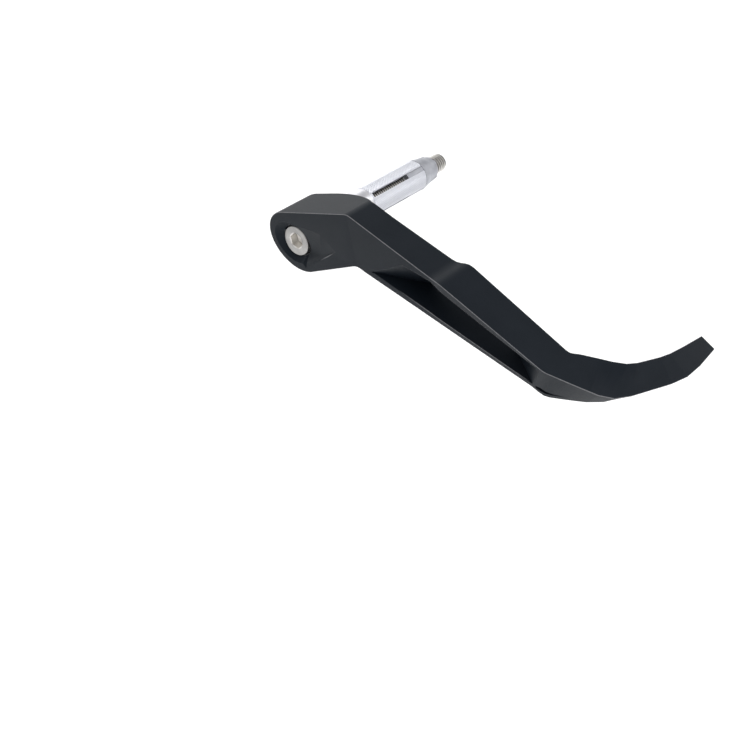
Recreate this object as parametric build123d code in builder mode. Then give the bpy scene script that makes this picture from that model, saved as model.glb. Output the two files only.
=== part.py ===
"""Brake lever guard for a handlebar end, with its expanding clamp.

Millimetres.  X is the clamp screw's axis and points out of the handlebar,
Y points forwards along the guard, Z points up.  The origin is the centre of
the collar's face that rests on the end of the handlebar.
"""
import os
from math import acos, atan2, cos, hypot, radians, sin, tan

from build123d import *

os.makedirs("parts", exist_ok=True)

# Clamp screw, an M8 socket cap screw
SCREW_D = 8.0
SCREW_LENGTH = 85.0
SCREW_TIP_CHAMFER = 1.0
HEAD_D = 13.0
HEAD_H = 8.0
HEAD_EDGE = 0.4
HEX_ACROSS_FLATS = 6.0
HEX_DEPTH = 4.0

# Expanding sleeve with its collar
COLLAR_D = 24.0
COLLAR_T = 4.5
COLLAR_EDGE = 0.8
SLEEVE_D = 14.0
SLEEVE_L = 54.0
NECK_L = 19.5
RELIEF_W = 1.0
RELIEF_D = 13.4
KNURL_D = 13.9
SLEEVE_BORE = 9.0
CONE_L = 10.0
CONE_MOUTH_D = 11.6
SLOT_COUNT = 4
SLOT_W = 2.2
SLOT_START = 21.5
SLOT_ANGLE = 65.0

# Cone nut that spreads the sleeve
NUT_TAIL_L = 10.0
NUT_TAIL_TIP_D = 9.8
NUT_GAP = 0.1
NUT_FIT = 0.1
KEY_D = 13.4
KEY_TIP_D = 10.8
KEY_FIT = 0.1

# Guard: lug and first leg
FACE_LEAN = 10.76
LUG_T = 8.5
LUG_R = 14.05
LUG_Y = 1.0
LUG_Z = 0.8
SCREW_FIT = 0.5
HEAD_FIT = 0.4
HEAD_SUNK = 1.7
LEG_TOP_ANGLE = 35.5
ELBOW_TOP_R = 6.0
ELBOW_BOTTOM_Y = 33.1
ELBOW_BOTTOM_R = 6.0
LEG_ANGLE = 42.0
TAPER_START = 12.0
TAPER_END = 43.0

# Guard: well round the screw's head, with a slope from its rim on the lug's face
WELL_SLOPE_DEPTH = 3.0
WELL_RIM_D = 20.0
WELL_OVERRUN = 1.0

# Guard: scoop that runs out of the well and fades into the lug's face on a straight line.  Points of its
# floor are the distances across the run and along it from the screw
SCOOP_ANGLE = 67.6
SCOOP_L = 19.8
SCOOP_DEPTH = 3.0
SCOOP_UPPER = ((0.0, 0.0), (4.7, 7.3), (-0.3, 12.7))
SCOOP_LINE = (-6.6, -16.0)
SCOOP_LOWER = ((-12.0, 7.1), (-9.3, -2.6))
SCOOP_DRAFT = 30.0
SCOOP_CUT = 5.0

# Guard: second leg, ramp, blade and rib.  Rear faces are measured outwards from the lug's rear face,
# front faces outwards from the face of the screw's head
LEG_TOP_Z = 35.6
LEG_REAR = 8.9
RAMP_FOOT_Y = 68.5
RAMP_TOP_Y = 73.5
RAMP_TOP_Z = 38.2
RAMP_REAR = 7.9
RAMP_BEND = 2.2
ARM_END_H = 3.0
BLADE_FRONT = 9.3
BLADE_REAR = 7.1
RIB_Z = 12.5
RIB_REAR = 5.9
RIB_START_Y = 37.0
RIB_SWEEP = 0.076
NOSE_Y = 117.3
NOSE_LEAN = 14.7
NOSE_TOP_Z = 28.4
NOSE_FRONT = 2.8
NOSE_REAR = 3.0
NOSE_BEND = 1.6

# Guard: hooked tip.  Each section has its upper and lower front corners, outwards from the face of the
# screw's head, forwards from the nose and up, then the way through its thickness at the lower corner,
# the share of its width by which the rear face is set in at the top, and how far its bend is rounded
TIP = (
    ((-16.5, 6.7, 28.1), (-0.3, 8.1, 27.0), (-5.0, -3.2, -16.5), 0.3, 2.4),
    ((-21.0, 11.2, 27.2), (-6.5, 15.8, 24.1), (-4.5, -4.6, -13.7), 0.3, 5.0),
    ((-30.6, 20.8, 25.1), (-21.5, 24.7, 14.3), (0.3, -3.5, -4.3), 0.1, 9.0),
    ((-49.8, 27.3, 23.9), (-58.0, 36.5, 13.0), (0.0, -3.0, -2.4), 0.2, 9.0),
    ((-72.0, 29.4, 22.3), (-79.0, 34.7, 15.0), (0.0, -2.6, -2.1), 0.25, 0.0),
)

# Guard: groove above the nose's lower edge, by distance along the nose's end face and height over the rib
GROOVE_TURN = 39.5
GROOVE_DEPTH = 2.2
GROOVE = ((1.5, 1.5), (1.5, 3.8), (17.0, -0.2), (6.0, -0.1))

# Guard: pocket in the outer face, and the window it leaves in the rear face.  The pocket's corners are
# outwards from the face of the screw's head, forwards and up
WINDOW_REAR = 6.0
WINDOW_R = 2.5
WINDOW = ((62.5, 18.3), (76.0, 28.8), (80.0, 30.0), (104.0, 30.0), (102.0, 17.0))
POCKET_TIP_R = 0.8
POCKET_REACH = 15.0
POCKET = (
    (2.9, 40.6, 15.6),
    (6.0, 54.5, 31.3),
    (6.6, 70.0, 34.3),
    (2.5, 120.2, 27.6),
    (-2.7, 117.2, 14.8),
)

# Places that follow from the sizes above
seat_x = COLLAR_T
head_seat_x = seat_x + LUG_T
head_face_x = head_seat_x + HEAD_H
screw_tip_x = head_seat_x - SCREW_LENGTH
nut_face_x = -SLEEVE_L - NUT_GAP
nut_end_x = nut_face_x - NUT_TAIL_L
cone_start_x = -SLEEVE_L + CONE_L
face_slope = tan(radians(FACE_LEAN))
face_dir = Vector(cos(radians(FACE_LEAN)), 0, -sin(radians(FACE_LEAN)))
leg_front_x = head_face_x + face_slope * LEG_TOP_Z
leg_back_x = seat_x + LEG_REAR
rib_back_x = seat_x + RIB_REAR
nose_back_x = seat_x + NOSE_REAR
window_x = seat_x + WINDOW_REAR
reach_x = head_face_x + POCKET_REACH
leg_rise = radians(LEG_TOP_ANGLE)
lug_top = (LUG_Y - LUG_R * sin(leg_rise), LUG_Z + LUG_R * cos(leg_rise))
elbow_top = (LUG_Y + ((LEG_TOP_Z - LUG_Z) * cos(leg_rise) - LUG_R) / sin(leg_rise), LEG_TOP_Z)
elbow_bottom = (ELBOW_BOTTOM_Y, RIB_Z)
elbow_run = (ELBOW_BOTTOM_Y - LUG_Y, RIB_Z - LUG_Z)
tangent_angle = atan2(elbow_run[1], elbow_run[0]) - acos(LUG_R / hypot(*elbow_run))
lug_bottom = (LUG_Y + LUG_R * cos(tangent_angle), LUG_Z + LUG_R * sin(tangent_angle))
bend_foot = Vector(head_face_x + face_slope * RIB_Z, *elbow_bottom)
bend_dir = (Vector(leg_front_x, *elbow_top) - bend_foot).normalized()
bend_plane = Plane(bend_foot, x_dir=face_dir, z_dir=bend_dir)
lug_face = Vector(head_face_x + HEAD_SUNK, 0, 0)
lug_local = bend_plane.to_local_coords(lug_face)
lug_dir = bend_dir.cross(lug_face - bend_foot).normalized()
lug_plane = Plane(lug_face, x_dir=Vector(0, 0, 1).cross(lug_dir), z_dir=lug_dir)
well_r = HEAD_D / 2 + HEAD_FIT
slope_foot_r = well_r - HEAD_FIT / 2
slope_foot = (
    -WELL_SLOPE_DEPTH * lug_plane.x_dir.X / lug_plane.z_dir.X,
    -WELL_SLOPE_DEPTH * lug_plane.y_dir.X / lug_plane.z_dir.X,
)
slope_over = WELL_OVERRUN / WELL_SLOPE_DEPTH
slope_end = (-slope_foot[0] * slope_over, -slope_foot[1] * slope_over)
slope_end_r = slope_foot_r + (WELL_RIM_D / 2 - slope_foot_r) * (1 + slope_over)
scoop_run = lug_plane.x_dir * cos(radians(SCOOP_ANGLE)) + lug_plane.y_dir * sin(radians(SCOOP_ANGLE))
scoop_tilt = atan2(SCOOP_DEPTH, SCOOP_L)
scoop_plane = Plane(
    lug_face + scoop_run * SCOOP_L,
    x_dir=lug_dir.cross(scoop_run),
    z_dir=lug_dir * cos(scoop_tilt) - scoop_run * sin(scoop_tilt),
)
scoop_outline = [(across, (SCOOP_L - along) / cos(scoop_tilt)) for across, along in SCOOP_UPPER]
scoop_outline += [(across, 0) for across in SCOOP_LINE]
scoop_outline += [(across, (SCOOP_L - along) / cos(scoop_tilt)) for across, along in SCOOP_LOWER]
far = NOSE_Y
leg_plane = Plane(
    (0, 0, 0),
    x_dir=(0, cos(radians(LEG_ANGLE)), sin(radians(LEG_ANGLE))),
    z_dir=(0, sin(radians(LEG_ANGLE)), -cos(radians(LEG_ANGLE))),
)


def rib_x(y):
    """X of the rib's outer edge, which starts on the outer face and sweeps back."""
    return head_face_x + face_slope * RIB_Z - RIB_SWEEP * (y - RIB_START_Y)


def leg_section(y, front_x, back_x, rib_back, top_z, lean=0.0):
    """Second leg: top rear and top front corners, the way down the front, and the rear's set-in."""
    top_y = y + (top_z - RIB_Z) * tan(radians(lean))
    down = Vector(rib_x(y) - front_x, y - top_y, RIB_Z - top_z)
    set_in = (rib_back - back_x - down.X) / (front_x - back_x)
    return Vector(back_x, top_y, top_z), Vector(front_x, top_y, top_z), down, set_in


def tip_section(upper, lower, thickness, set_in):
    """Hooked tip: its section in the same terms as the second leg's."""
    start = Vector(head_face_x, NOSE_Y, 0)
    return start + Vector(*upper), start + Vector(*lower), Vector(*thickness), set_in


def between(one, other, share):
    """A section that lies a share of the way from one section to another."""
    upper, lower, down = [a + (b - a) * share for a, b in zip(one[:3], other[:3])]
    return upper, lower, down, one[3] + (other[3] - one[3]) * share


def softened(sharp, bends):
    """Put three sections in place of each inner one, so that the bend there is rounded."""
    soft = [sharp[0]]
    for before, section, after, bend in zip(sharp, sharp[1:], sharp[2:], bends):
        start = between(section, before, bend / (before[1] - section[1]).length)
        end = between(section, after, bend / (after[1] - section[1]).length)
        soft += [start, between(section, between(start, end, 0.5), 0.5), end]
    return soft + [sharp[-1]]


def corners_of(upper, lower, down, set_in):
    """A section's four corners: top rear, top front, bottom front, bottom rear."""
    return upper, lower, lower + down, upper + down + (lower - upper) * set_in


def plane_of(corners):
    """The plane that holds four corners."""
    across = corners[1] - corners[0]
    return Plane(corners[0], x_dir=across, z_dir=across.cross(corners[3] - corners[0]))


def flat(plane, corners):
    """The corners as points of the plane."""
    local = [plane.to_local_coords(corner) for corner in corners]
    return [(point.X, point.Y) for point in local]


def ahead(front, back):
    """Carry the line from a window corner through its pocket corner out past the outer face."""
    grow = (reach_x - window_x) / (head_face_x + front[0] - window_x)
    return back[0] + (front[1] - back[0]) * grow, back[1] + (front[2] - back[1]) * grow


groove_plane = Plane(
    (rib_x(NOSE_Y), NOSE_Y, RIB_Z),
    x_dir=(-sin(radians(GROOVE_TURN)), cos(radians(GROOVE_TURN)), 0),
    z_dir=(cos(radians(GROOVE_TURN)), sin(radians(GROOVE_TURN)), 0),
)
mouth_corners = [ahead(front, back) for front, back in zip(POCKET, WINDOW)]
sharp_sections = [
    leg_section(RIB_START_Y, leg_front_x, leg_back_x, leg_back_x, LEG_TOP_Z),
    leg_section(RAMP_FOOT_Y, leg_front_x, seat_x + RAMP_REAR, rib_back_x, LEG_TOP_Z),
    leg_section(RAMP_TOP_Y, head_face_x + BLADE_FRONT, seat_x + BLADE_REAR, rib_back_x, RAMP_TOP_Z),
    leg_section(NOSE_Y, head_face_x + NOSE_FRONT, nose_back_x, nose_back_x, NOSE_TOP_Z, NOSE_LEAN),
]
sharp_sections += [tip_section(*row[:4]) for row in TIP]
bends = [RAMP_BEND, RAMP_BEND, NOSE_BEND] + [row[4] for row in TIP]

with BuildPart() as guard:
    # Lug, first leg and the start of the second leg, as one outline along the screw's axis
    with BuildSketch(Plane.YZ.offset(seat_x)) as arm:
        with BuildLine():
            Polyline(
                lug_bottom,
                elbow_bottom,
                (RIB_START_Y, RIB_Z),
                (RAMP_FOOT_Y, LEG_TOP_Z - ARM_END_H),
                (RAMP_FOOT_Y, LEG_TOP_Z),
                elbow_top,
                lug_top,
            )
            ThreePointArc(lug_top, (LUG_Y - LUG_R, LUG_Z), lug_bottom)
        make_face()
        fillet(arm.vertices().sort_by_distance(elbow_top)[0], ELBOW_TOP_R)
        fillet(arm.vertices().sort_by_distance(elbow_bottom)[0], ELBOW_BOTTOM_R)
    extrude(amount=reach_x)
    # The outer face bends a little at the elbow, so that the lug stands out over the screw's head
    with BuildSketch(bend_plane):
        with BuildLine():
            Polyline(
                (0, 0),
                (0, far),
                (far, far),
                (far, -far),
                (-lug_local.X / lug_local.Y * far, -far),
                close=True,
            )
        make_face()
    extrude(amount=far, both=True, mode=Mode.SUBTRACT)
    # The rear face is flat behind the lug, then curves forwards to the second leg
    with BuildSketch(leg_plane):
        with BuildLine():
            TangentArc((TAPER_START, seat_x), (TAPER_END, leg_back_x), tangent=(1, 0))
            Polyline(
                (TAPER_END, leg_back_x),
                (far, leg_back_x),
                (far, 0),
                (TAPER_START, 0),
                (TAPER_START, seat_x),
            )
        make_face()
    extrude(amount=far, both=True, mode=Mode.SUBTRACT)
    # Second leg, blade, nose and hooked tip
    for section in softened(sharp_sections, bends):
        corners = corners_of(*section)
        section_plane = plane_of(corners)
        with BuildSketch(section_plane):
            with BuildLine():
                Polyline(*flat(section_plane, corners), close=True)
            make_face()
    loft(ruled=True)
    # Pocket from the outer face, narrowing to the window
    with BuildSketch(Plane.YZ.offset(window_x)) as window:
        with BuildLine():
            Polyline(*WINDOW, close=True)
        make_face()
        for corner in WINDOW[1:4]:
            fillet(window.vertices().sort_by_distance(corner)[0], WINDOW_R)
    with BuildSketch(Plane.YZ.offset(reach_x)) as mouth:
        with BuildLine():
            Polyline(*mouth_corners, close=True)
        make_face()
        for corner, radius in zip(mouth_corners[1:4], (WINDOW_R, WINDOW_R, POCKET_TIP_R)):
            fillet(mouth.vertices().sort_by_distance(corner)[0], radius)
    loft(ruled=True, mode=Mode.SUBTRACT)
    extrude(window.sketch, amount=-window_x, mode=Mode.SUBTRACT)
    with BuildSketch(groove_plane):
        with BuildLine():
            Polyline(*GROOVE, close=True)
        make_face()
    extrude(amount=GROOVE_DEPTH, both=True, mode=Mode.SUBTRACT)
    # Screw hole, and the well round the screw's head with its sloping upper part
    with BuildSketch(Plane.XY):
        with BuildLine():
            Polyline(
                (0, 0),
                (0, (SCREW_D + SCREW_FIT) / 2),
                (head_seat_x, (SCREW_D + SCREW_FIT) / 2),
                (head_seat_x, well_r),
                (reach_x, well_r),
                (reach_x, 0),
                close=True,
            )
        make_face()
    revolve(axis=Axis.X, mode=Mode.SUBTRACT)
    with BuildSketch(lug_plane.offset(-WELL_SLOPE_DEPTH)):
        with Locations(slope_foot):
            Circle(slope_foot_r)
    with BuildSketch(lug_plane.offset(WELL_OVERRUN)):
        with Locations(slope_end):
            Circle(slope_end_r)
    loft(ruled=True, mode=Mode.SUBTRACT)
    # Scoop that runs out of the well
    with BuildSketch(scoop_plane):
        with BuildLine():
            Polyline(*scoop_outline, close=True)
        make_face()
    extrude(amount=SCOOP_CUT, taper=-SCOOP_DRAFT, mode=Mode.SUBTRACT)
guard.part.label = "guard"
export_step(guard.part, "parts/guard.step")

with BuildPart() as clamp_screw:
    with BuildSketch(Plane.XY):
        with BuildLine():
            Polyline(
                (screw_tip_x, 0),
                (screw_tip_x, SCREW_D / 2 - SCREW_TIP_CHAMFER),
                (screw_tip_x + SCREW_TIP_CHAMFER, SCREW_D / 2),
                (head_seat_x, SCREW_D / 2),
                (head_seat_x, HEAD_D / 2),
                (head_face_x - HEAD_EDGE, HEAD_D / 2),
                (head_face_x, HEAD_D / 2 - HEAD_EDGE),
                (head_face_x, 0),
                close=True,
            )
        make_face()
    revolve(axis=Axis.X)
    with BuildSketch(Plane.YZ.offset(head_face_x)):
        RegularPolygon(HEX_ACROSS_FLATS / 2, 6, major_radius=False)
    extrude(amount=-HEX_DEPTH, mode=Mode.SUBTRACT)
clamp_screw.part.label = "clamp_screw"
export_step(clamp_screw.part, "parts/clamp_screw.step")

with BuildPart() as expander_sleeve:
    with BuildSketch(Plane.XY):
        with BuildLine():
            Polyline(
                (seat_x, SLEEVE_BORE / 2),
                (seat_x, COLLAR_D / 2 - COLLAR_EDGE),
                (seat_x - COLLAR_EDGE, COLLAR_D / 2),
                (0, COLLAR_D / 2),
                (0, SLEEVE_D / 2),
                (-NECK_L, SLEEVE_D / 2),
                (-NECK_L, RELIEF_D / 2),
                (-NECK_L - RELIEF_W, RELIEF_D / 2),
                (-NECK_L - RELIEF_W, KNURL_D / 2),
                (-SLEEVE_L, KNURL_D / 2),
                (-SLEEVE_L, CONE_MOUTH_D / 2),
                (cone_start_x, SLEEVE_BORE / 2),
                close=True,
            )
        make_face()
    revolve(axis=Axis.X)
    with BuildSketch(Plane.YZ.offset(-SLEEVE_L)):
        with PolarLocations(SLEEVE_D / 2, SLOT_COUNT, start_angle=SLOT_ANGLE):
            Rectangle(SLEEVE_D, SLOT_W)
    extrude(amount=SLEEVE_L - SLOT_START, mode=Mode.SUBTRACT)
expander_sleeve.part.label = "expander_sleeve"
export_step(expander_sleeve.part, "parts/expander_sleeve.step")

with BuildPart() as cone_nut:
    with BuildSketch(Plane.YZ.offset(nut_end_x)):
        with PolarLocations((KEY_D + SCREW_D) / 4, SLOT_COUNT, start_angle=SLOT_ANGLE):
            Rectangle((KEY_D - SCREW_D) / 2, SLOT_W - 2 * KEY_FIT)
    extrude(amount=cone_start_x - nut_end_x)
    with BuildSketch(Plane.XY):
        with BuildLine():
            Polyline(
                (nut_end_x, 0),
                (nut_end_x, KEY_TIP_D / 2),
                (nut_face_x, KEY_D / 2),
                (cone_start_x, KEY_D / 2),
                (cone_start_x, 0),
                close=True,
            )
        make_face()
    revolve(axis=Axis.X, mode=Mode.INTERSECT)
    with BuildSketch(Plane.XY):
        with BuildLine():
            Polyline(
                (nut_end_x, SCREW_D / 2),
                (nut_end_x, NUT_TAIL_TIP_D / 2),
                (nut_face_x, KNURL_D / 2),
                (nut_face_x, CONE_MOUTH_D / 2 - NUT_FIT),
                (cone_start_x, SLEEVE_BORE / 2 - NUT_FIT),
                (cone_start_x, SCREW_D / 2),
                close=True,
            )
        make_face()
    revolve(axis=Axis.X)
cone_nut.part.label = "cone_nut"
export_step(cone_nut.part, "parts/cone_nut.step")
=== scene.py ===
from math import ceil, cos, pi, radians, sin

import bmesh
import bpy
from mathutils import Matrix, Vector


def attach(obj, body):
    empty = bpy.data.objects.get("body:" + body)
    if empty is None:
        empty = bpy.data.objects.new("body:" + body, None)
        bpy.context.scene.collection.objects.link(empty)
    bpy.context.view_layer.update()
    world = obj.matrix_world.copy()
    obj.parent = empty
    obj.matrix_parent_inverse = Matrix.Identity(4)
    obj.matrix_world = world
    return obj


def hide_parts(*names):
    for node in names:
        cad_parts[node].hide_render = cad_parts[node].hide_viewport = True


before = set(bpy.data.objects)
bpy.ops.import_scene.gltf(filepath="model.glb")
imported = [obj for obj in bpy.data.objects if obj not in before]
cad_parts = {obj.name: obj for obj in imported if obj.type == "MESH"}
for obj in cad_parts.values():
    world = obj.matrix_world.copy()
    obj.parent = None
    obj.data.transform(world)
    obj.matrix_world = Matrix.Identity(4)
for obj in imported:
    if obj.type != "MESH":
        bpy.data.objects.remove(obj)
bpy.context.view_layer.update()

MM = 0.001
X_AXIS = Vector((1, 0, 0))

# Distances under which two points, or a point and a plane, count as the same
SAME_POINT = 1e-7
ON_PLANE = 1e-6
ONE_CORNER = 2e-6

# Clamp screw, along X with its head outwards
HEAD_FACE_X = 21.0 * MM
HEAD_SEAT_X = 13.0 * MM
HEAD_R = 6.5 * MM
HEAD_EDGE = 0.6 * MM
SEAT_EDGE = 0.3 * MM
SCREW_TIP_X = -72.0 * MM
TIP_CHAMFER = 1.0 * MM
SCREW_R = 4.0 * MM
THREAD_START_X = -19.5 * MM
THREAD_PITCH = 1.25 * MM
THREAD_DEPTH = 0.77 * MM
THREAD_STEPS = 36
THREAD_SHADE_STOP = 0.1 * MM
THREAD_SOFT = radians(30)
HEX_R = 3.0 * MM / cos(pi / 6)
HEX_DEPTH = 4.0 * MM
HEX_MOUTH_R = 3.75 * MM
HEX_MOUTH_DEPTH = 0.35 * MM
HEX_MARGIN = 0.05 * MM
DRILL_DEPTH = 1.2 * MM
TURN_STEPS = 96
SCREW_SOFT = radians(25)

# Slotted sleeve round the screw
COLLAR_SEAT_X = 4.5 * MM
COLLAR_R = 12.0 * MM
COLLAR_EDGE = 0.8 * MM
COLLAR_EDGE_MID = 0.25 * MM
COLLAR_REAR_EDGE = 0.3 * MM
NECK_R = 7.0 * MM
NECK_END_X = -19.5 * MM
NECK_EDGE_L = 0.2 * MM
NECK_EDGE_R = 0.15 * MM
RELIEF_R = 6.7 * MM
BORE_R = 4.5 * MM
SLEEVE_END_X = -54.0 * MM
CONE_START_X = -44.0 * MM
CONE_MOUTH_R = 5.8 * MM
SLOT_START_X = -21.5 * MM
SLOT_HALF = 1.1 * MM
END_EDGE_RISE = 1.0 * MM
SLOT_ANGLE = radians(65)
KNURL_R = 6.95 * MM
KNURL_START_X = -20.5 * MM
KNURL_DEPTH = 0.2 * MM
KNURL_PITCH = 1.0 * MM
KNURL_TEETH = 44
KNURL_CUTS = 4
KNURL_MARGIN = 0.1 * MM
SLEEVE_SOFT = radians(28)

# Guard's moulded edges: corners between two angles are rounded, in runs of some length
EDGE_ROUND = 0.3 * MM
EDGE_STEPS = 4
FLAT_ANGLE = radians(0.05)
SOFT_ANGLE = radians(33)
ROUND_FROM = radians(45)
ROUND_TO = radians(135)
SHORTEST_RUN = 4.0 * MM
DRAW_IN = 0.36 * MM

# Edges painted paler, partly for wear and partly as a painted highlight, stop short of the end of their
# run
WEAR_AND_HIGHLIGHT_STOP = 1.2 * MM

# Scoop's upper line on the lug's outer face, the one edge there that is crisp, clear of the screw's well
LUG_FACE_END_Y = 25.0 * MM
SCOOP_LINE_Y = 4.0 * MM
SCOOP_LINE_Z = 0.0
SCOOP_LINE_FROM = radians(15)
WELL_CLEAR_R = 8.0 * MM
FRONT_LEAN = 0.1

# Scoop's deepest corner, which the moulding fades out towards the lug's outer face
SCOOP_CORNER = Vector((18.0, 7.4, -5.3)) * MM
SCOOP_FADE = 2.9 * MM
FACING_OUT = 0.9

# Corner of the pocket's mouth, where the solid's edge has several points close together.
# The one point left there sits lower by the edge's rounding, so that no gap opens behind it.
POCKET_CORNER = Vector((27.88, 69.92, 34.32)) * MM
POCKET_CORNER_R = 0.45 * MM
POCKET_CORNER_DROP = Vector((0, 0, -0.35)) * MM

# Groove along the nose's lower edge: its outline on the nose, with the ends of its upper line first
# and last, the way it is cut, how far, and the space round it where no edge is rounded
GROOVE_OUTLINE = [
    Vector(point) * MM
    for point in (
        (18.13, 118.38, 14.9),
        (17.95, 120.25, 15.3),
        (17.5, 118.65, 13.5),
        (16.4, 122.1, 12.85),
        (15.35, 123.55, 12.7),
        (10.8, 129.04, 12.87),
    )
]
GROOVE_WAY = Vector((0.83, 0.4, -0.38)).normalized()
GROOVE_OUT = 1.0 * MM
GROOVE_IN = 1.5 * MM
GROOVE_CLEAR = 2.2 * MM

# Studio: floor, and the camera's place, its right and up, and its lens
FLOOR_HALF = 3.0
FLOOR_Z = -0.12
CAMERA_PLACE = (0.3502, 0.2479, 0.3511)
CAMERA_RIGHT = Vector((-0.6593, 0.7255, 0.1971))
CAMERA_UP = Vector((-0.4441, -0.5874, 0.6766))
SENSOR_WIDTH = 36
LENS = 63.74


def finished(bm, name, material):
    """Turn a bmesh into a shown piece that rides on the one body."""
    mesh = bpy.data.meshes.new(name)
    bm.to_mesh(mesh)
    bm.free()
    piece = bpy.data.objects.new(name, mesh)
    bpy.context.scene.collection.objects.link(piece)
    mesh.materials.append(material)
    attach(piece, "root")
    return piece


def smooth_by_angle(bm, limit):
    """Shade smooth, with a sharp line wherever two faces turn by more than the limit."""
    for face in bm.faces:
        face.smooth = True
    for edge in bm.edges:
        edge.smooth = len(edge.link_faces) == 2 and edge.calc_face_angle() < limit


def turned(bm, profile, steps):
    """Spin a profile of (x, radius) points round the screw's axis."""
    points = [bm.verts.new((x, 0, radius)) for x, radius in profile]
    lines = [bm.edges.new(pair) for pair in zip(points, points[1:])]
    bmesh.ops.spin(
        bm, geom=points + lines, cent=(0, 0, 0), axis=X_AXIS, angle=2 * pi, steps=steps, use_merge=True
    )


def loop_at(bm, x, radius):
    """Edges of the open rim that lies at this x and radius."""
    found = []
    for edge in bm.edges:
        offs = [max(abs(v.co.x - x), abs(v.co.yz.length - radius)) for v in edge.verts]
        if edge.is_boundary and max(offs) < ON_PLANE:
            found.append(edge)
    return found


def socket_screw(material):
    """Cap screw with a hexagon socket, a plain shank and a cut thread."""
    bm = bmesh.new()
    turned(
        bm,
        [
            (HEAD_FACE_X, HEX_MOUTH_R),
            (HEAD_FACE_X, HEAD_R - HEAD_EDGE),
            (HEAD_FACE_X - HEAD_EDGE / 6, HEAD_R - HEAD_EDGE / 2),
            (HEAD_FACE_X - HEAD_EDGE / 2, HEAD_R - HEAD_EDGE / 6),
            (HEAD_FACE_X - HEAD_EDGE, HEAD_R),
            (HEAD_SEAT_X + SEAT_EDGE, HEAD_R),
            (HEAD_SEAT_X, HEAD_R - SEAT_EDGE),
            (HEAD_SEAT_X, SCREW_R),
            (THREAD_START_X, SCREW_R),
            (THREAD_START_X, 0),
        ],
        TURN_STEPS,
    )
    bmesh.ops.remove_doubles(bm, verts=bm.verts, dist=SAME_POINT)
    rim = loop_at(bm, HEAD_FACE_X, HEX_MOUTH_R)
    place = Matrix.Translation((HEAD_FACE_X - HEX_MOUTH_DEPTH, 0, 0)) @ Matrix.Rotation(pi / 2, 4, "Y")
    hexagon = bmesh.ops.create_circle(bm, segments=6, radius=HEX_R, matrix=place)
    corners = set(hexagon["verts"])
    sides = [edge for edge in bm.edges if corners.issuperset(edge.verts)]
    cut = bmesh.ops.subdivide_edges(bm, edges=sides, cuts=TURN_STEPS // 6 - 1)
    outline = set(cut["geom"]) | {edge for edge in sides if edge.is_valid}
    mouth = [edge for edge in bm.edges if edge in outline]
    wall = bmesh.ops.extrude_edge_only(bm, edges=mouth)["geom"]
    floor_ring = [v for v in wall if isinstance(v, bmesh.types.BMVert)]
    bmesh.ops.translate(bm, verts=floor_ring, vec=(HEX_MOUTH_DEPTH - HEX_DEPTH, 0, 0))
    ring_edges = [e for e in wall if isinstance(e, bmesh.types.BMEdge)]
    drill = bmesh.ops.extrude_edge_only(bm, edges=ring_edges)["geom"]
    drill_point = [v for v in drill if isinstance(v, bmesh.types.BMVert)]
    drill_x = HEAD_FACE_X - HEX_DEPTH - DRILL_DEPTH
    bmesh.ops.pointmerge(bm, verts=drill_point, merge_co=(drill_x, 0, 0))
    bmesh.ops.bridge_loops(bm, edges=rim + mouth)
    bmesh.ops.remove_doubles(bm, verts=bm.verts, dist=SAME_POINT)
    bmesh.ops.recalc_face_normals(bm, faces=bm.faces)
    smooth_by_angle(bm, SCREW_SOFT)
    add_thread(bm)
    # The thread's valleys are marked for painted shade, a darker colour in the metal
    groove = bm.verts.layers.float.new("groove_depth")
    for v in bm.verts:
        if SCREW_TIP_X + THREAD_SHADE_STOP < v.co.x < THREAD_START_X - THREAD_SHADE_STOP:
            v[groove] = min(1.0, (SCREW_R - v.co.yz.length) / THREAD_DEPTH)
    # The hexagon socket and the thread are marked for a painted highlight, a paler colour
    painted_highlight_layer = bm.verts.layers.float.new("painted_highlight")
    for v in bm.verts:
        in_hexagon = v.co.x > HEAD_SEAT_X and v.co.yz.length < HEX_R + HEX_MARGIN
        if in_hexagon or v.co.x < THREAD_START_X:
            v[painted_highlight_layer] = 1.0
    piece = finished(bm, "socket_screw", material)
    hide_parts("clamp_screw")


def add_thread(bm):
    """Cut thread from the plain shank to the tip, one pitch of its profile carried along a helix."""
    thread = bmesh.new()
    root = SCREW_R - THREAD_DEPTH
    start = THREAD_START_X + 2 * THREAD_PITCH
    shares = ((0, root), (1 / 8, root), (7 / 16, SCREW_R), (9 / 16, SCREW_R), (7 / 8, root), (1, root))
    points = [thread.verts.new((start - share * THREAD_PITCH, 0, radius)) for share, radius in shares]
    lines = [thread.edges.new(pair) for pair in zip(points, points[1:])]
    turns = ceil((start - SCREW_TIP_X) / THREAD_PITCH) + 1
    bmesh.ops.spin(
        thread,
        geom=points + lines,
        cent=(0, 0, 0),
        axis=-X_AXIS,
        dvec=(-THREAD_PITCH / THREAD_STEPS, 0, 0),
        angle=2 * pi * turns,
        steps=turns * THREAD_STEPS,
    )
    bmesh.ops.remove_doubles(thread, verts=thread.verts, dist=ONE_CORNER)
    for cut_x, outwards in ((THREAD_START_X, X_AXIS), (SCREW_TIP_X, -X_AXIS)):
        bmesh.ops.bisect_plane(
            thread,
            geom=thread.verts[:] + thread.edges[:] + thread.faces[:],
            plane_co=(cut_x, 0, 0),
            plane_no=outwards,
            clear_outer=True,
        )
    for v in thread.verts:
        radius = v.co.yz.length
        allowed = SCREW_R - TIP_CHAMFER + (v.co.x - SCREW_TIP_X)
        if radius > allowed:
            v.co.y *= allowed / radius
            v.co.z *= allowed / radius
    bmesh.ops.holes_fill(thread, edges=[e for e in thread.edges if e.is_boundary])
    bmesh.ops.recalc_face_normals(thread, faces=thread.faces)
    smooth_by_angle(thread, THREAD_SOFT)
    whole = bpy.data.meshes.new("thread_only")
    thread.to_mesh(whole)
    thread.free()
    bm.from_mesh(whole)
    bpy.data.meshes.remove(whole)


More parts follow.
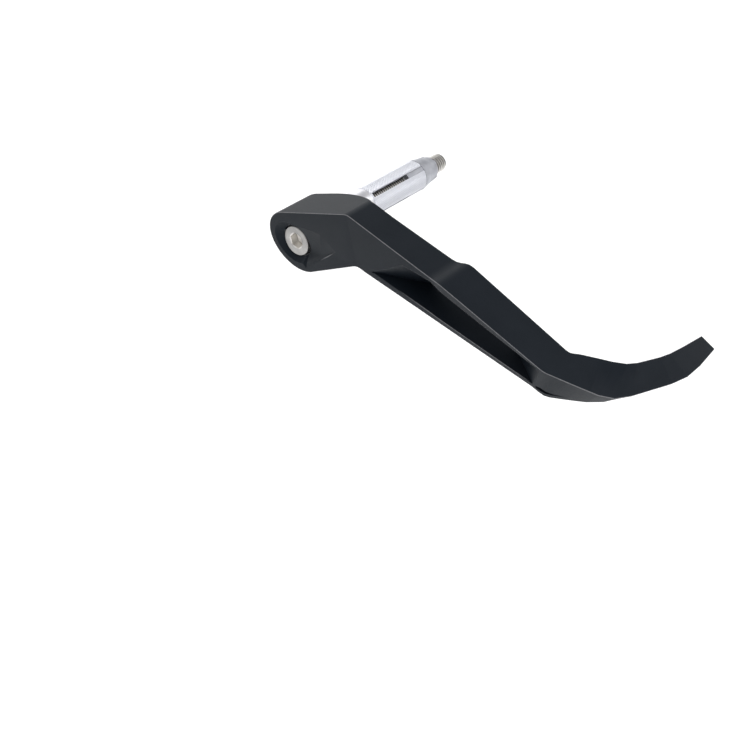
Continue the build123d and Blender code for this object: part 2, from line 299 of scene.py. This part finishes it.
def knurl_height(x, angle):
    """Share of the knurl's depth at a point: two families of crossing grooves."""
    along = (KNURL_START_X - x) / KNURL_PITCH
    around = angle / (2 * pi) * KNURL_TEETH
    left = abs((along + around) % 1 - 0.5) * 2
    right = abs((along - around) % 1 - 0.5) * 2
    return max(left, right)


def slotted_sleeve(material):
    """Turned sleeve with a collar, a plain neck, a knurled stretch and four long slots."""
    bm = bmesh.new()
    rows = round((KNURL_START_X - SLEEVE_END_X) / KNURL_PITCH * KNURL_CUTS)
    step = (KNURL_START_X - SLEEVE_END_X) / rows
    knurl_rows = [(KNURL_START_X - step * row, KNURL_R) for row in range(rows + 1)]
    turned(
        bm,
        [
            (CONE_START_X, BORE_R),
            (COLLAR_SEAT_X, BORE_R),
            (COLLAR_SEAT_X, COLLAR_R - COLLAR_EDGE),
            (COLLAR_SEAT_X - COLLAR_EDGE_MID, COLLAR_R - COLLAR_EDGE_MID),
            (COLLAR_SEAT_X - COLLAR_EDGE, COLLAR_R),
            (COLLAR_REAR_EDGE, COLLAR_R),
            (0, COLLAR_R - COLLAR_REAR_EDGE),
            (0, NECK_R),
            (NECK_END_X + NECK_EDGE_L, NECK_R),
            (NECK_END_X, NECK_R - NECK_EDGE_R),
            (NECK_END_X, RELIEF_R),
            (KNURL_START_X, RELIEF_R),
            *knurl_rows,
            (SLEEVE_END_X, CONE_MOUTH_R),
            (CONE_START_X, BORE_R),
        ],
        KNURL_TEETH * KNURL_CUTS,
    )
    bmesh.ops.remove_doubles(bm, verts=bm.verts, dist=SAME_POINT)
    # This value sets the knurl's depth and also the painted shade in its valleys
    groove = bm.verts.layers.float.new("groove_depth")
    for v in bm.verts:
        spoke = Vector((0, v.co.y, v.co.z))
        if v.co.x < KNURL_START_X + step / 2 and spoke.length > KNURL_R - KNURL_MARGIN:
            angle = Vector((1, 0)).angle_signed(spoke.yz)
            v[groove] = knurl_height(v.co.x, angle)
            spoke.length = KNURL_R - KNURL_DEPTH * v[groove]
            v.co.yz = spoke.yz
    first = Vector((0, cos(SLOT_ANGLE), sin(SLOT_ANGLE)))
    second = X_AXIS.cross(first)
    cuts = [(Vector((SLOT_START_X, 0, 0)), X_AXIS)]
    cuts += [(side * SLOT_HALF * across, across) for across in (first, second) for side in (1, -1)]
    for place, normal in cuts:
        slotted = [f for f in bm.faces if min(v.co.x for v in f.verts) < SLOT_START_X - ON_PLANE]
        geom = dict.fromkeys(slotted)
        geom.update(dict.fromkeys(e for f in slotted for e in f.edges))
        geom.update(dict.fromkeys(v for f in slotted for v in f.verts))
        bmesh.ops.bisect_plane(bm, geom=list(geom), plane_co=place, plane_no=normal, dist=SAME_POINT)
    gaps = []
    for face in bm.faces:
        middle = face.calc_center_median()
        off = min(abs(middle.dot(first)), abs(middle.dot(second)))
        if middle.x < SLOT_START_X and off < SLOT_HALF - ON_PLANE:
            gaps.append(face)
    bmesh.ops.delete(bm, geom=gaps, context="FACES")
    for along, across in ((first, second), (second, -first), (-first, -second), (-second, first)):
        close_slot(bm, along, across)
    bmesh.ops.recalc_face_normals(bm, faces=bm.faces)
    smooth_by_angle(bm, SLEEVE_SOFT)
    piece = finished(bm, "slotted_sleeve", material)
    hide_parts("expander_sleeve")


def close_slot(bm, along, across):
    """Join the outer and inner rims of one slot with its two walls and its closed end."""
    rims = {"end": [], "left": [], "right": []}
    for edge in bm.edges:
        if not edge.is_boundary:
            continue
        a, b = (v.co for v in edge.verts)
        middle = (a + b) / 2
        if middle.dot(along) < 0 or abs(middle.dot(across)) > SLOT_HALF + ON_PLANE:
            continue
        # An edge across the sleeve's end face belongs to no rim
        if abs(a.yz.length - b.yz.length) > END_EDGE_RISE and abs(a.x - b.x) < ON_PLANE:
            continue
        if abs(a.x - SLOT_START_X) < ON_PLANE and abs(b.x - SLOT_START_X) < ON_PLANE:
            rims["end"].append(edge)
        elif middle.dot(across) > 0:
            rims["left"].append(edge)
        else:
            rims["right"].append(edge)
    for edges in rims.values():
        bmesh.ops.bridge_loops(bm, edges=edges)


def near_groove(point):
    """Whether a point lies close to the groove's upper line, where no edge is rounded."""
    start, end = GROOVE_OUTLINE[0], GROOVE_OUTLINE[-1]
    share = (point - start).dot(end - start) / (end - start).length_squared
    return (point - start.lerp(end, min(max(share, 0), 1))).length < GROOVE_CLEAR


def groove_cutter():
    """Solid that the groove along the nose's lower edge is cut with."""
    bm = bmesh.new()
    for point in GROOVE_OUTLINE:
        bm.verts.new(point + GROOVE_WAY * GROOVE_OUT)
        bm.verts.new(point - GROOVE_WAY * GROOVE_IN)
    bmesh.ops.convex_hull(bm, input=bm.verts)
    bmesh.ops.recalc_face_normals(bm, faces=bm.faces)
    return bm


def cut_away(whole, cutter):
    """What is left of the first solid once the second is taken away."""
    helpers = []
    for name, solid in (("whole", whole), ("cutter", cutter)):
        mesh = bpy.data.meshes.new(name)
        solid.to_mesh(mesh)
        solid.free()
        helpers.append(bpy.data.objects.new(name, mesh))
        bpy.context.scene.collection.objects.link(helpers[-1])
    less = helpers[0].modifiers.new("less", "BOOLEAN")
    less.operation = "DIFFERENCE"
    less.object = helpers[1]
    left = bmesh.new()
    left.from_object(helpers[0], bpy.context.evaluated_depsgraph_get())
    for helper in helpers:
        mesh = helper.data
        bpy.data.objects.remove(helper)
        bpy.data.meshes.remove(mesh)
    return left


def is_crisp(edge):
    """Whether an edge is a convex corner of the moulding, and neither a soft bend nor a knife edge."""
    if not edge.is_convex:
        return False
    angle = edge.calc_face_angle()
    middle = (edge.verts[0].co + edge.verts[1].co) / 2
    if near_groove(middle):
        return False
    if middle.y < LUG_FACE_END_Y and min(face.normal.x for face in edge.link_faces) > FRONT_LEAN:
        on_line = middle.y > SCOOP_LINE_Y and middle.z > SCOOP_LINE_Z
        return on_line and middle.yz.length > WELL_CLEAR_R and angle > SCOOP_LINE_FROM
    around = {e for v in edge.verts for e in v.link_edges}
    return angle > ROUND_FROM and max(e.calc_face_angle() for e in around) < ROUND_TO


def long_runs(edges):
    """Those of the edges that join up into runs of some length."""
    left = dict.fromkeys(edges)
    kept = []
    while left:
        run = [left.popitem()[0]]
        for edge in run:
            joined = dict.fromkeys(e for v in edge.verts for e in v.link_edges if e in left)
            for e in joined:
                del left[e]
            run.extend(joined)
        if sum(edge.calc_length() for edge in run) > SHORTEST_RUN:
            kept.extend(run)
    return kept


def draw_in(bm, edges):
    """Draw each point within the edges' rounding onto the nearest of them, so that no face folds over."""
    on_edge = {v for edge in edges for v in edge.verts}
    moves = {}
    for v in bm.verts:
        links = [e for e in v.link_edges if e.other_vert(v) in on_edge and e.calc_length() < DRAW_IN]
        if links and v not in on_edge:
            moves[v] = min(links, key=lambda e: e.calc_length()).other_vert(v)
    bmesh.ops.weld_verts(bm, targetmap=moves)


def run_ends(edges):
    """Points where a run of the edges stops."""
    ends = []
    for v in {v for edge in edges for v in edge.verts}:
        if sum(edge in edges for edge in v.link_edges) == 1:
            ends.append(v.co.copy())
    return ends


def fade_scoop(bm):
    """Bring the scoop's deepest corner out, so that its floor runs into the lug's outer face."""
    outer = [f for f in bm.faces if f.normal.x > FACING_OUT]
    front = [f for f in outer if f.calc_center_median().y < LUG_FACE_END_Y]
    corner = min(bm.verts, key=lambda v: (v.co - SCOOP_CORNER).length)
    corner.co += max(front, key=lambda f: f.calc_area()).normal * SCOOP_FADE


def moulded_guard(material):
    """The guard with its crisp edges rounded as a mould leaves them, and painted paler along their middle,
    partly for wear and partly as a painted highlight.
    """
    bm = bmesh.new()
    bm.from_mesh(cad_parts["guard"].data)
    bmesh.ops.remove_doubles(bm, verts=bm.verts, dist=ONE_CORNER)
    bm = cut_away(bm, groove_cutter())
    bmesh.ops.remove_doubles(bm, verts=bm.verts, dist=ONE_CORNER)
    bmesh.ops.dissolve_limit(bm, angle_limit=FLAT_ANGLE, verts=bm.verts, edges=bm.edges)
    row = [v for v in bm.verts if (v.co - POCKET_CORNER).length < POCKET_CORNER_R]
    bmesh.ops.pointmerge(bm, verts=row, merge_co=POCKET_CORNER + POCKET_CORNER_DROP)
    fade_scoop(bm)
    draw_in(bm, long_runs(e for e in bm.edges if is_crisp(e)))
    wear_and_highlight = bm.verts.layers.float.new("edge_wear_and_highlight")
    crisp = long_runs(e for e in bm.edges if is_crisp(e))
    ends = run_ends(set(crisp))
    rounded = bmesh.ops.bevel(
        bm,
        geom=crisp,
        offset=EDGE_ROUND,
        offset_type="OFFSET",
        affect="EDGES",
        segments=EDGE_STEPS,
        profile=0.5,
        material=-1,
        clamp_overlap=False,
        face_strength_mode="AFFECTED",
    )
    new_faces = set(rounded["faces"])
    # Points along the rounded edges are marked for a paler colour, partly wear and partly a painted
    # highlight
    for v in {v for face in new_faces for v in face.verts}:
        from_end = min((v.co - end).length for end in ends)
        if new_faces.issuperset(v.link_faces) and from_end > WEAR_AND_HIGHLIGHT_STOP:
            v[wear_and_highlight] = 1.0
    smooth_by_angle(bm, SOFT_ANGLE)
    piece = finished(bm, "moulded_guard", material)
    even = piece.modifiers.new("even_normals", "WEIGHTED_NORMAL")
    even.keep_sharp = True
    even.use_face_influence = True
    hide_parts("guard")


def new_material(name):
    """A node material, its tree and its shader."""
    material = bpy.data.materials.new(name)
    material.use_nodes = True
    return material, material.node_tree, material.node_tree.nodes["Principled BSDF"]


def add_node(tree, kind, links=(), **settings):
    """A node with its settings and inputs, where links pairs an input's name with an output."""
    node = tree.nodes.new(kind)
    for key, value in settings.items():
        if hasattr(node, key):
            setattr(node, key, value)
        else:
            node.inputs[key.replace("_", " ")].default_value = value
    for key, source in links:
        tree.links.new(source, node.inputs[key])
    return node


def ramp(tree, source, low, high):
    """A colour ramp between two (place, colour) stops."""
    node = add_node(tree, "ShaderNodeValToRGB", [("Fac", source)])
    for stop, (place, colour) in zip(node.color_ramp.elements, (low, high)):
        stop.position = place
        stop.color = (*colour, 1)
    return node.outputs["Color"]


def spread(tree, source, low, high):
    """The source's 0 to 1 spread over another range."""
    node = add_node(tree, "ShaderNodeMapRange", [("Value", source)])
    node.inputs["To Min"].default_value = low
    node.inputs["To Max"].default_value = high
    return node.outputs["Result"]


def moulded_plastic():
    """Black plastic with the mould's fine grain, paler along the rounded edges, partly for wear and partly
    as a painted highlight.
    """
    material, tree, shader = new_material("moulded_plastic")
    place = add_node(tree, "ShaderNodeTexCoord").outputs["Object"]
    cloud = add_node(tree, "ShaderNodeTexNoise", [("Vector", place)], Scale=90, Detail=4)
    grain = add_node(tree, "ShaderNodeTexNoise", [("Vector", place)], Scale=2600, Detail=3, Roughness=0.6)
    pits = add_node(tree, "ShaderNodeTexVoronoi", [("Vector", place)], Scale=1700)
    dark = ramp(tree, cloud.outputs["Fac"], (0.3, (0.005, 0.0072, 0.0108)), (0.7, (0.007, 0.0094, 0.0135)))
    wear_and_highlight_attribute = add_node(tree, "ShaderNodeAttribute", attribute_name="edge_wear_and_highlight")
    wear_and_highlight = add_node(
        tree,
        "ShaderNodeMath",
        [(0, wear_and_highlight_attribute.outputs["Fac"]), (1, grain.outputs["Fac"])],
        operation="MULTIPLY",
    )
    colour = add_node(tree, "ShaderNodeMix", data_type="RGBA")
    tree.links.new(wear_and_highlight.outputs[0], colour.inputs[0])
    tree.links.new(dark, colour.inputs[6])
    # Pale colour of the rounded edges: partly wear, partly a painted highlight
    colour.inputs[7].default_value = (0.3, 0.3, 0.31, 1)
    tree.links.new(colour.outputs[2], shader.inputs["Base Color"])
    tree.links.new(spread(tree, grain.outputs["Fac"], 0.42, 0.58), shader.inputs["Roughness"])
    fine = add_node(
        tree, "ShaderNodeBump", [("Height", grain.outputs["Fac"])], Strength=0.12, Distance=0.0002
    )
    rough = add_node(
        tree,
        "ShaderNodeBump",
        [("Height", pits.outputs["Distance"]), ("Normal", fine.outputs["Normal"])],
        Strength=0.05,
        Distance=0.0002,
    )
    tree.links.new(rough.outputs["Normal"], shader.inputs["Normal"])
    shader.inputs["Specular IOR Level"].default_value = 0.145
    shader.inputs["Specular Tint"].default_value = (0.8, 0.9, 1.0, 1)
    return material


def turned_metal(name, dark, pale, groove, rough, marks, across):
    """Bare metal with a lathe's fine lines round the axis, with painted shade in its grooves and a painted
    highlight, a paler colour, where marked.
    """
    material, tree, shader = new_material(name)
    place = add_node(tree, "ShaderNodeTexCoord").outputs["Object"]
    parts = add_node(tree, "ShaderNodeSeparateXYZ", [("Vector", place)])
    flat = add_node(
        tree, "ShaderNodeCombineXYZ", [("X", parts.outputs["Y"]), ("Y", parts.outputs["Z"])]
    )
    radius = add_node(tree, "ShaderNodeVectorMath", [(0, flat.outputs["Vector"])], operation="LENGTH")
    lines = add_node(
        tree, "ShaderNodeCombineXYZ", [("X", parts.outputs["X"]), ("Y", radius.outputs["Value"])]
    )
    turning = add_node(
        tree, "ShaderNodeTexNoise", [("Vector", lines.outputs["Vector"])], Scale=across, Detail=2
    )
    cloud = add_node(tree, "ShaderNodeTexNoise", [("Vector", place)], Scale=260, Detail=5)
    colour = add_node(tree, "ShaderNodeMix", data_type="RGBA")
    # Painted shade: the groove colour darkens the metal towards the bottom of grooves
    depth = add_node(tree, "ShaderNodeAttribute", attribute_name="groove_depth")
    shade = add_node(
        tree, "ShaderNodeMapRange", [("Value", depth.outputs["Fac"])], interpolation_type="SMOOTHSTEP"
    )
    shade.inputs["From Min"].default_value = 0.15
    shade.inputs["From Max"].default_value = 0.75
    tree.links.new(shade.outputs["Result"], colour.inputs[0])
    plain = add_node(tree, "ShaderNodeMix", data_type="RGBA")
    # Painted highlight: marked points take a paler colour
    cut = add_node(tree, "ShaderNodeAttribute", attribute_name="painted_highlight")
    tree.links.new(cut.outputs["Fac"], plain.inputs[0])
    tree.links.new(ramp(tree, cloud.outputs["Fac"], (0.35, dark), (0.65, pale)), plain.inputs[6])
    plain.inputs[7].default_value = (0.8, 0.78, 0.75, 1)
    tree.links.new(plain.outputs[2], colour.inputs[6])
    colour.inputs[7].default_value = (*groove, 1)
    tree.links.new(colour.outputs[2], shader.inputs["Base Color"])
    patches = spread(tree, cloud.outputs["Fac"], rough - 0.07, rough + 0.07)
    tree.links.new(patches, shader.inputs["Roughness"])
    bump = add_node(
        tree, "ShaderNodeBump", [("Height", turning.outputs["Fac"])], Strength=marks, Distance=0.0001
    )
    tree.links.new(bump.outputs["Normal"], shader.inputs["Normal"])
    shader.inputs["Metallic"].default_value = 1.0
    return material


def studio():
    """Pale floor, soft lights, and the camera at the guard's three-quarter view from above."""
    scene = bpy.context.scene
    bm = bmesh.new()
    bmesh.ops.create_grid(bm, x_segments=2, y_segments=2, size=FLOOR_HALF)
    bmesh.ops.translate(bm, verts=bm.verts, vec=(0, 0, FLOOR_Z))
    mesh = bpy.data.meshes.new("floor")
    bm.to_mesh(mesh)
    bm.free()
    floor = bpy.data.objects.new("floor", mesh)
    scene.collection.objects.link(floor)
    material, _, shader = new_material("pale_floor")
    shader.inputs["Base Color"].default_value = (0.9, 0.9, 0.9, 1)
    shader.inputs["Roughness"].default_value = 0.9
    shader.inputs["Emission Color"].default_value = (1, 1, 1, 1)
    shader.inputs["Emission Strength"].default_value = 0.25
    mesh.materials.append(material)

    world = bpy.data.worlds.new("studio")
    world.use_nodes = True
    scene.world = world
    tree = world.node_tree
    back = tree.nodes["Background"]
    way = add_node(tree, "ShaderNodeTexCoord").outputs["Generated"]
    height = add_node(tree, "ShaderNodeSeparateXYZ", [("Vector", way)]).outputs["Z"]
    sky = add_node(tree, "ShaderNodeMapRange", [("Value", height)])
    sky.inputs["From Min"].default_value = 0.05
    sky.inputs["From Max"].default_value = 0.75
    sky.inputs["To Min"].default_value = 0.95
    sky.inputs["To Max"].default_value = 0.42
    tree.links.new(sky.outputs["Result"], back.inputs["Strength"])
    back.inputs["Color"].default_value = (1, 1, 1, 1)

    for name, place, aim, size, power in (
        ("high_box", (0.35, 0.55, 1.1), (0, 0.07, 0), 0.9, 9.0),
        ("rear_box", (-0.3, -0.9, 0.5), (0, 0.05, 0.02), 0.8, 3.5),
        ("sleeve_box", (-0.73, 0.43, 0.85), (-0.03, 0, 0), 0.7, 1.2),
    ):
        light = bpy.data.lights.new(name, "AREA")
        light.shape = "DISK"
        light.size = size
        light.energy = power
        lamp = bpy.data.objects.new(name, light)
        lamp.location = place
        lamp.rotation_euler = (Vector(aim) - Vector(place)).to_track_quat("-Z", "Y").to_euler()
        scene.collection.objects.link(lamp)

    camera = bpy.data.objects.new("camera", bpy.data.cameras.new("camera"))
    turn = Matrix((CAMERA_RIGHT, CAMERA_UP, CAMERA_RIGHT.cross(CAMERA_UP))).transposed().to_4x4()
    camera.matrix_world = Matrix.Translation(CAMERA_PLACE) @ turn
    camera.data.sensor_width = SENSOR_WIDTH
    camera.data.lens = LENS
    camera.data.clip_start = 0.01
    scene.collection.objects.link(camera)
    scene.camera = camera
    scene.view_settings.view_transform = "Standard"


plastic = moulded_plastic()
# The fourth value of each metal is the colour of the painted shade in its grooves
stainless = turned_metal(
    "stainless_steel", (0.31, 0.305, 0.3), (0.41, 0.405, 0.395), (0.006, 0.005, 0.004), 0.32, 0.2, 9000
)
aluminium = turned_metal(
    "bright_aluminium", (0.84, 0.84, 0.885), (0.92, 0.92, 0.95), (0.68, 0.7, 0.76), 0.34, 0.08, 6000
)
nut_metal = turned_metal(
    "nut_aluminium", (0.42, 0.43, 0.47), (0.54, 0.55, 0.59), (0.3, 0.3, 0.3), 0.48, 0.1, 6000
)

moulded_guard(plastic)
socket_screw(stainless)
slotted_sleeve(aluminium)
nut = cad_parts["cone_nut"]
for face_slot in nut.material_slots:
    face_slot.material = nut_metal
studio()
